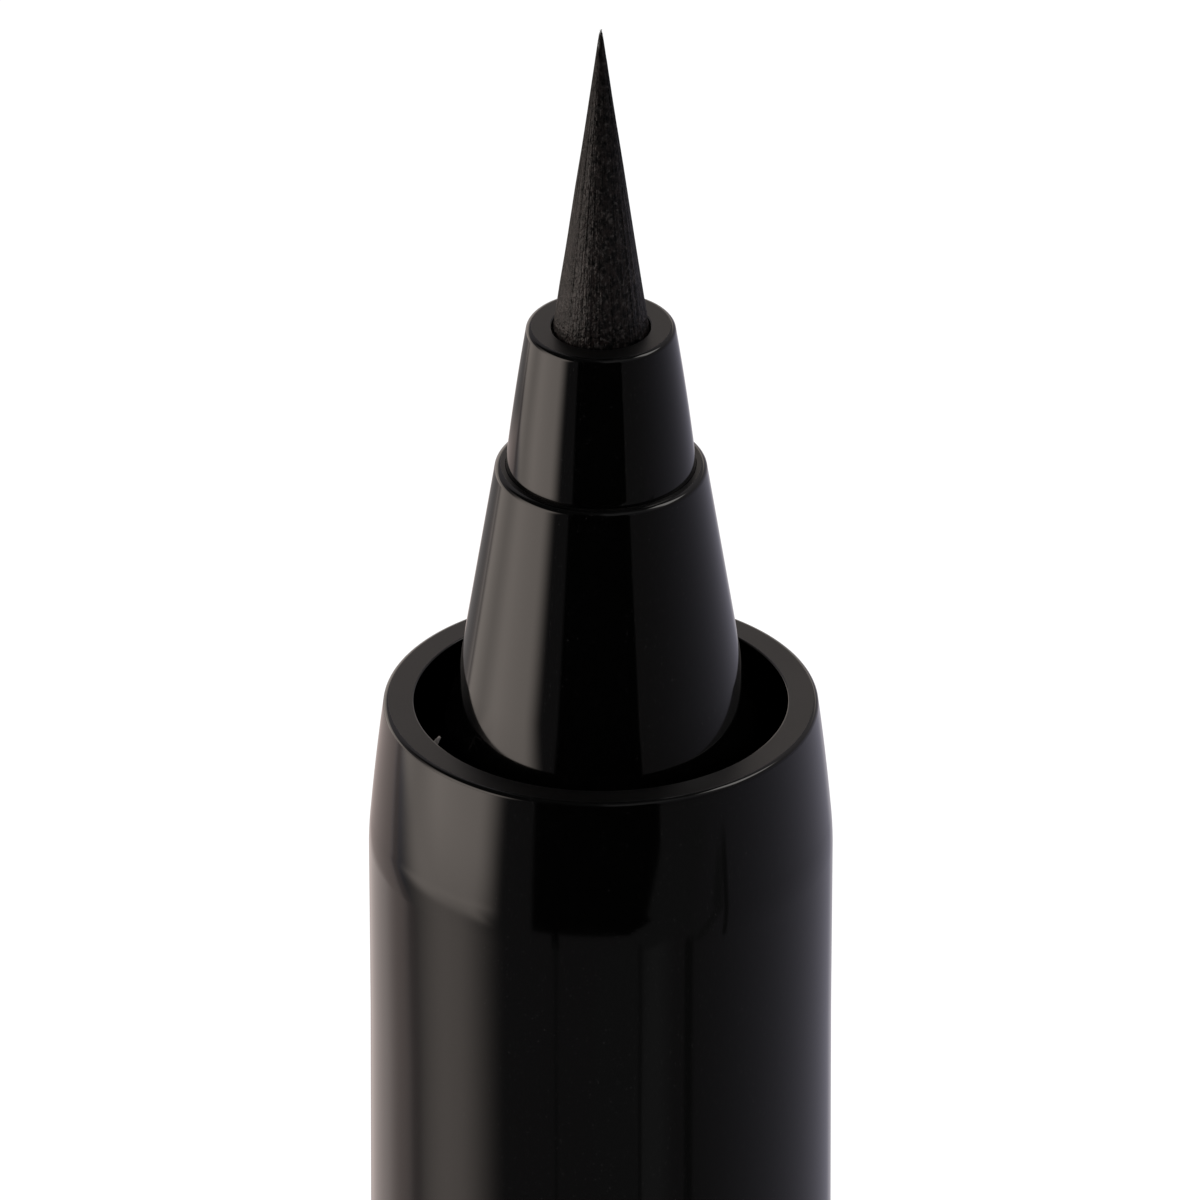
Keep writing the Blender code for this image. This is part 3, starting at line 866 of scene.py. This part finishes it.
def panelGroup():
    tree = bpy.data.node_groups.new("studioPanel", "ShaderNodeTree")
    for label in ("Azimuth", "Elevation", "Centre", "Slant", "Left", "Fade left", "Right", "Fade right",
                  "Low", "Fade low", "High", "Fade high"):
        tree.interface.new_socket(label, in_out="INPUT", socket_type="NodeSocketFloat")
    for label in ("Behind", "Colour"):
        tree.interface.new_socket(label, in_out="INPUT", socket_type="NodeSocketColor")
    tree.interface.new_socket("Colour", in_out="OUTPUT", socket_type="NodeSocketColor")
    given = addNode(tree, "NodeGroupInput").outputs
    # a slanted panel leans sideways as it rises
    rise = math(tree, "SUBTRACT", given["Elevation"], studioSettings["slantLevel"])
    centre = math(tree, "MULTIPLY_ADD", rise, given["Slant"], given["Centre"])
    off = math(tree, "WRAP", math(tree, "SUBTRACT", given["Azimuth"], centre), 180.0, -180.0)
    leftIn = math(tree, "MULTIPLY", given["Left"], -1.0)
    leftOut = math(tree, "SUBTRACT", leftIn, given["Fade left"])
    rightOut = math(tree, "ADD", given["Right"], given["Fade right"])
    lowOut = math(tree, "SUBTRACT", given["Low"], given["Fade low"])
    highOut = math(tree, "ADD", given["High"], given["Fade high"])
    share = spread(tree, off, leftOut, leftIn)
    share = math(tree, "MULTIPLY", share, spread(tree, off, rightOut, given["Right"]))
    share = math(tree, "MULTIPLY", share, spread(tree, given["Elevation"], lowOut, given["Low"]))
    share = math(tree, "MULTIPLY", share, spread(tree, given["Elevation"], highOut, given["High"]))
    mixed = mixColours(tree, share, given["Behind"], given["Colour"])
    addNode(tree, "NodeGroupOutput", {"Colour": mixed})
    return tree


def makeTent():
    # only reflections see its softboxes, walls and black cards
    look = studioSettings
    material = bpy.data.materials.new("studioTent")
    material.use_nodes = True
    tree = material.node_tree
    tree.nodes.clear()
    place = addNode(tree, "ShaderNodeTexCoord").outputs["Object"]
    direction = vectorMath(tree, "NORMALIZE", place)
    parts = addNode(tree, "ShaderNodeSeparateXYZ", {0: direction}).outputs
    azimuth = math(tree, "ARCTAN2", parts[0], math(tree, "MULTIPLY", parts[1], -1.0))
    azimuth = math(tree, "DEGREES", azimuth)
    elevation = math(tree, "DEGREES", math(tree, "ARCSINE", parts[2]))
    group = panelGroup()
    behind = look["wall"]
    for label, colour, centre, left, right, low, high, slant in look["panels"]:
        behind = addNode(tree, "ShaderNodeGroup", {
            "Azimuth": azimuth, "Elevation": elevation, "Behind": behind, "Colour": colour,
            "Centre": centre, "Slant": slant,
            "Left": left[0], "Fade left": left[1], "Right": right[0], "Fade right": right[1],
            "Low": low[0], "Fade low": low[1], "High": high[0], "Fade high": high[1],
        }, node_tree=group, label=label).outputs[0]
    glow = addNode(tree, "ShaderNodeEmission", {"Color": behind, "Strength": 1.0})
    addNode(tree, "ShaderNodeOutputMaterial", {"Surface": glow.outputs[0]})
    material.cycles.emission_sampling = "NONE"
    shape = bmesh.new()
    bmesh.ops.create_icosphere(shape, subdivisions=3, radius=look["tentRadius"])
    bmesh.ops.reverse_faces(shape, faces=shape.faces)
    tent = linkMesh("tent", toMesh("tent", shape), material)
    tent.visible_camera = False
    tent.visible_diffuse = False
    tent.visible_shadow = False


def makeWorld():
    # white behind the pen, plain grey light on it
    world = bpy.data.worlds.new("studio")
    bpy.context.scene.world = world
    world.use_nodes = True
    tree = world.node_tree
    tree.nodes.clear()
    rays = addNode(tree, "ShaderNodeLightPath").outputs
    seen = math(tree, "MAXIMUM", rays["Is Camera Ray"], rays["Is Glossy Ray"])
    seen = math(tree, "MAXIMUM", seen, rays["Is Transmission Ray"])
    final = mixColours(tree, seen, studioSettings["worldLight"], rgb(1.0))
    background = addNode(tree, "ShaderNodeBackground", {"Color": final, "Strength": 1.0})
    addNode(tree, "ShaderNodeOutputWorld", {"Surface": background.outputs[0]})


makeTent()
makeWorld()

floorSettings = {
    "size": 30.0,
    "colour": rgb(0.86),
    "paleColour": rgb(0.88),
    "roughness": 0.9,
    "grainSize": 4 * mm,
    "glow": (0.14, 0.38),
    "glowReach": (0.3, 2.5),
}


def makeFloor():
    look = floorSettings
    material, tree, shader, place = startMaterial("paleFloor")
    shader.inputs["Roughness"].default_value = look["roughness"]
    shader.inputs["Specular IOR Level"].default_value = 0.0
    grain = noise(tree, place, look["grainSize"], detail=3.0)
    colour = mixColours(tree, grain, look["colour"], look["paleColour"])
    tree.links.new(colour, shader.inputs["Base Color"])
    rays = addNode(tree, "ShaderNodeLightPath").outputs
    seen = math(tree, "MAXIMUM", rays["Is Camera Ray"], rays["Is Transmission Ray"])
    # the lamps light the floor round the pen only, so the glow rises with the distance
    away = vectorMath(tree, "LENGTH", place)
    glow = math(tree, "MULTIPLY", seen, spread(tree, away, *look["glowReach"], *look["glow"]))
    shader.inputs["Emission Color"].default_value = rgb(1.0)
    tree.links.new(glow, shader.inputs["Emission Strength"])
    shape = bmesh.new()
    bmesh.ops.create_grid(shape, x_segments=1, y_segments=1, size=look["size"] / 2)
    floor = linkMesh("floor", toMesh("floor", shape), material)
    floor.visible_glossy = False  # the gloss meets the tent below the pen too
    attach(floor, "cap")  # the floor stays under the cap that the pen stands on


makeFloor()

lampSettings = {
    "target": (0, 0, 0.10),
    "lamps": {
        "key": {"place": (-0.75, -0.45, 0.60), "size": 0.5, "power": 5.2},
        "fill": {"place": (0.60, -0.55, 0.55), "size": 0.6, "power": 2.2},
    },
}


def makeLamps():
    target = Vector(lampSettings["target"])
    for name, look in lampSettings["lamps"].items():
        light = bpy.data.lights.new(name, "AREA")
        light.shape = "SQUARE"
        light.size = look["size"]
        light.energy = look["power"]
        lamp = bpy.data.objects.new(name, light)
        bpy.context.scene.collection.objects.link(lamp)
        lamp.location = look["place"]
        aim = target - Vector(look["place"])
        lamp.rotation_euler = aim.to_track_quat("-Z", "Y").to_euler()
        lamp.visible_camera = False
        lamp.visible_glossy = False


makeLamps()
print("studio, floor and lamps made")


# Camera: the lip's centre lies 99.3 of 1200 pixels below the middle of the frame

cameraSettings = {
    "distance": 1.2,
    "height": radians(29.0),
    "frame": 1200,
    "pixelsPerMm": 41.12,
    "lipPixel": (601.0, 699.3),
    "sensorWidth": 36.0,
    "clipStart": 0.01,
    "clipEnd": 60.0,
}


def makeCamera():
    look = cameraSettings
    data = bpy.data.cameras.new("camera")
    camera = bpy.data.objects.new("camera", data)
    bpy.context.scene.collection.objects.link(camera)
    lip = Vector((0, 0, pen["lipLevel"]))
    towards = Vector((0, -cos(look["height"]), sin(look["height"])))
    camera.location = lip + look["distance"] * towards
    focal = look["pixelsPerMm"] * look["distance"] / mm
    half = look["frame"] / 2
    data.sensor_width = look["sensorWidth"]
    data.lens = data.sensor_width * focal / look["frame"]
    pitch = look["height"] - atan2(look["lipPixel"][1] - half, focal)
    yaw = atan2(look["lipPixel"][0] - half, focal)
    camera.rotation_euler = (pi / 2 - pitch, 0, yaw)
    data.clip_start = look["clipStart"]
    data.clip_end = look["clipEnd"]
    bpy.context.scene.camera = camera


makeCamera()
bpy.context.scene.view_settings.view_transform = "Standard"
